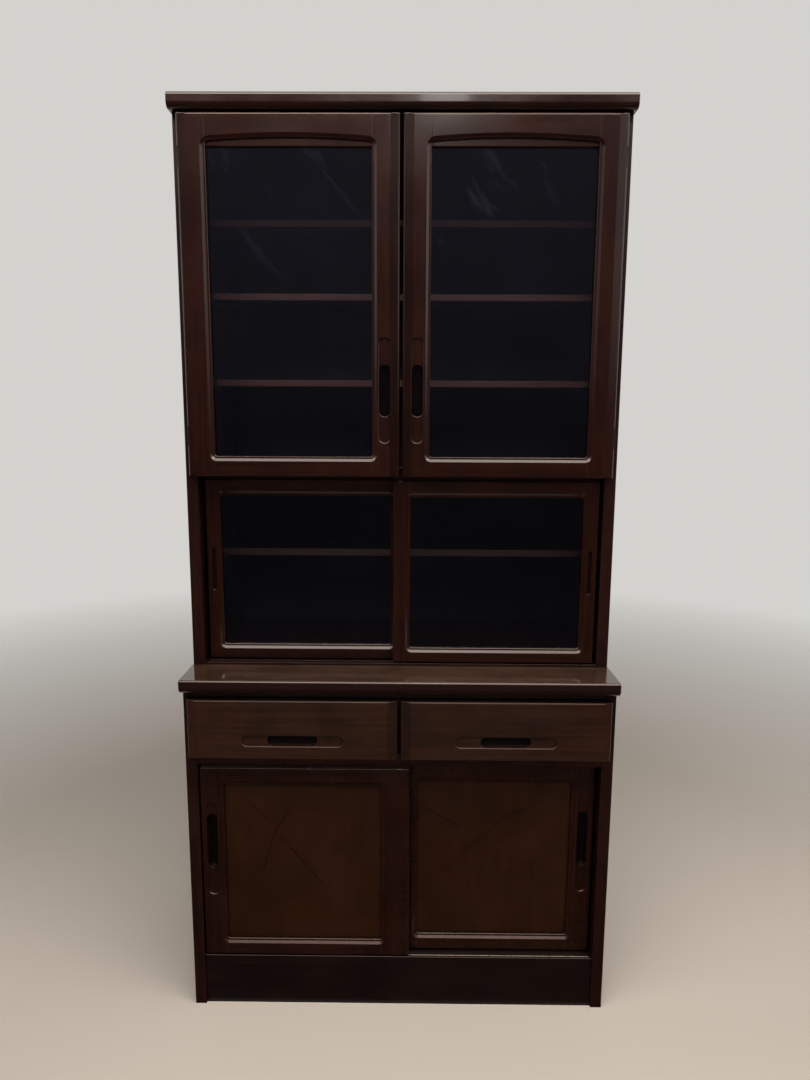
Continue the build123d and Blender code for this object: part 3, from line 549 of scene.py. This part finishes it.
# the cloth is near black low down and a dim blue-grey above, as a room in shade is. daylight comes
# in high up at the back of the room and, weaker, at its two sides, and a pale mat lies on the
# ground. each glow is where it starts, where it is full and, where it isn't 1, its strength
clothShades = [(0.0, (0.016, 0.014, 0.019, 1)), (0.08, (0.018, 0.016, 0.022, 1)),
               (0.25, (0.050, 0.047, 0.066, 1)), (0.40, (0.073, 0.070, 0.094, 1))]
daylight = dict(sides=[(4.3, 5.6, 0.55), (-5.0, -8.0, 0.16), (7.2, 8.3, 0.55), (-7.2, -8.3, 0.60)],
                sidesRise=(1.2, 3.0), sky=(5.6, 4.0, 3.4), skyRise=(6.2, 6.8))
paleMat = dict(right=(1.25, 0.95), left=(-1.25, -0.95), near=(-1.45, -1.6, 0.05), far=(-2.6, -2.35),
               top=(0.2, 0.1))


def glow(tree, source, start, end, strength=1.0):
    return rising(tree, source, start, end, 0.0, strength)


clothMaterial, tree = newMaterial("shadedCloth")
place = addNode(tree, "ShaderNodeTexCoord").outputs["Object"]
across, depth, height = axesOf(tree, place)
shade = ramp(tree, calc(tree, "DIVIDE", height, studio["curtainHeight"]), clothShades)
light = 0.0
for side in daylight["sides"]:
    light = calc(tree, "ADD", light, glow(tree, across, *side))
light = times(tree, light, glow(tree, height, *daylight["sidesRise"]))
mat = times(tree, glow(tree, across, *paleMat["right"]), glow(tree, across, *paleMat["left"]),
            glow(tree, depth, *paleMat["near"]), glow(tree, depth, *paleMat["far"]),
            glow(tree, height, *paleMat["top"]))
light = calc(tree, "ADD", light, mat)
grey = addNode(tree, "ShaderNodeCombineColor", {0: light, 1: light, 2: light}).outputs[0]
sky = vectorCalc(tree, "SCALE", {0: daylight["sky"], "Scale": glow(tree, height, *daylight["skyRise"])})
shade = mixColor(tree, 1.0, mixColor(tree, 1.0, shade, grey, "ADD"), sky, "ADD")
finishMaterial(tree, addNode(tree, "ShaderNodeEmission", {"Color": shade, "Strength": 1.0}))
for cloth in (curtain, groundCloth):
    cloth.data.materials.append(clothMaterial)
    cloth.visible_camera = False
    cloth.visible_diffuse = False
    cloth.visible_shadow = False

# the air is bright to the eye and to reflections, and lights the object only faintly
world = bpy.data.worlds.new("studioAir")
bpy.context.scene.world = world
world.use_nodes = True
tree = world.node_tree
tree.nodes.clear()
rays = addNode(tree, "ShaderNodeLightPath").outputs
seen = calc(tree, "MAXIMUM", rays["Is Camera Ray"], rays["Is Glossy Ray"])
seen = calc(tree, "MAXIMUM", seen, rays["Is Transmission Ray"])
air = addNode(tree, "ShaderNodeBackground", {"Color": hexColor(studio["airColor"]),
                                             "Strength": rising(tree, seen, 0.0, 1.0, studio["ambient"])})
addNode(tree, "ShaderNodeOutputWorld", {"Surface": air.outputs[0]})

# lights: a wide bank overhead, a lamp in front of it, and two weak fills, low in front and from the right
lights = {
    "overheadBank": dict(size=(3.0, 1.5), at=(0.25, -1.05, 3.05), aim=(0.2, -0.85, 0.9), power=68.0,
                         color=(1.0, 0.88, 0.77), gloss=True),
    "frontLamp": dict(size=(0.2, 0.4), at=(0.147, -1.9, 2.73), aim=(0.08, -0.15, 1.85), power=2.4,
                      color=(1.0, 0.97, 0.92), gloss=True),
    "frontFill": dict(size=(2.0, 1.6), at=(-0.3, -3.0, 0.8), aim=(0.0, -0.2, 0.6), power=14.0,
                      color=(1.0, 0.95, 0.88), gloss=False),
    "rightFill": dict(size=(2.6, 2.6), at=(2.4, -2.6, 1.3), aim=(0.0, 0.0, 1.0), power=8.5,
                      color=(1.0, 0.96, 0.90), gloss=False),
}


def areaLight(name, size, at, aim, power, color, gloss):
    light = bpy.data.lights.new(name, "AREA")
    light.shape = "RECTANGLE"
    light.size, light.size_y = size
    light.energy = power
    light.color = color
    lamp = bpy.data.objects.new(name, light)
    bpy.context.scene.collection.objects.link(lamp)
    lamp.location = at
    lamp.rotation_euler = (Vector(aim) - Vector(at)).to_track_quat("-Z", "Y").to_euler()
    lamp.visible_camera = False
    lamp.visible_glossy = gloss


for name, values in lights.items():
    areaLight(name, **values)

# camera, at the height of a standing person's chest
view = dict(lens=25.007, sensor=36.0, nearest=0.05, at=(0.02163, -1.66077, 1.25119),
            turn=(81.0863, -0.2843, 0.5001))
camera = bpy.data.objects.new("camera", bpy.data.cameras.new("camera"))
bpy.context.scene.collection.objects.link(camera)
camera.data.lens = view["lens"]
camera.data.sensor_width = view["sensor"]
camera.data.clip_start = view["nearest"]
camera.location = view["at"]
camera.rotation_euler = [math.radians(angle) for angle in view["turn"]]
bpy.context.scene.camera = camera
bpy.context.scene.view_settings.view_transform = "Standard"
print("studio ready")
